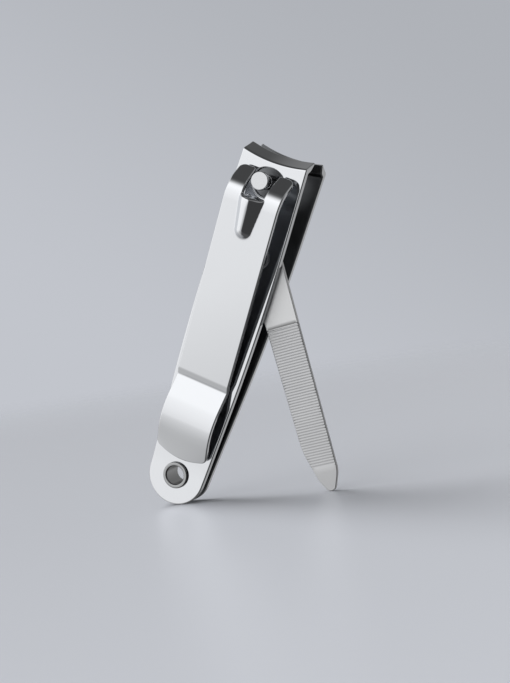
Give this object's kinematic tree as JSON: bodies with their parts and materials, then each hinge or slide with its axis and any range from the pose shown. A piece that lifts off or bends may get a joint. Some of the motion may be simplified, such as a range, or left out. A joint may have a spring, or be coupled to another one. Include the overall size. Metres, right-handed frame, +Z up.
{
  "type": "nail clipper with nail file",
  "caption": "Large chromed nail clipper standing on its round tail and on its swung-out nail file, with a flip-over lever on a turning pin.",
  "frame": {"origin": "middle of the whole object's footprint, on the level surface that the tail and the file's tip stand on", "axes": "+Z up, +X towards the side where the file swings out, -Y towards the side of the lever"},
  "size_m": [0.0486, 0.0208, 0.075],
  "materials": {
    "polished_chrome": "mirror polished plating",
    "pin_chrome": "polished, a little duller",
    "satin_file_steel": "satin with cut file teeth"
  },
  "bodies": {
    "lower_jaw": {"lower_arm": "polished_chrome", "tail_eyelet": "polished_chrome"},
    "upper_jaw": {"upper_arm": "polished_chrome", "file_rivet": "polished_chrome"},
    "pin": {"lever_pin": "pin_chrome"},
    "thumb_lever": {"lever": "polished_chrome"},
    "file": {"nail_file": "satin_file_steel"}
  },
  "joints": [
    {"name": "jaw_close", "type": "hinge", "parent": "lower_jaw", "child": "upper_jaw", "pos_m": [-0.01774, 0.00326, 0.00662], "axis": [-0.8761, 0, 0.4822], "range_deg": [0, 3.8], "stiffness_Nm_per_rad": 6},
    {"name": "pin_swivel", "type": "hinge", "parent": "lower_jaw", "child": "pin", "pos_m": [0.01466, 0.00326, 0.06549], "axis": [0, -1, 0], "continuous": true},
    {"name": "lever_flip", "type": "hinge", "parent": "pin", "child": "thumb_lever", "pos_m": [0.01466, -0.00534, 0.06549], "axis": [-0.8761, 0, 0.4822], "range_deg": [0, 155]},
    {"name": "file_swing", "type": "hinge", "parent": "upper_jaw", "child": "file", "pos_m": [0.00975, 0.00045, 0.05077], "axis": [-0.0271, -0.9984, -0.0491], "range_deg": [-33, 110]}
  ]
}
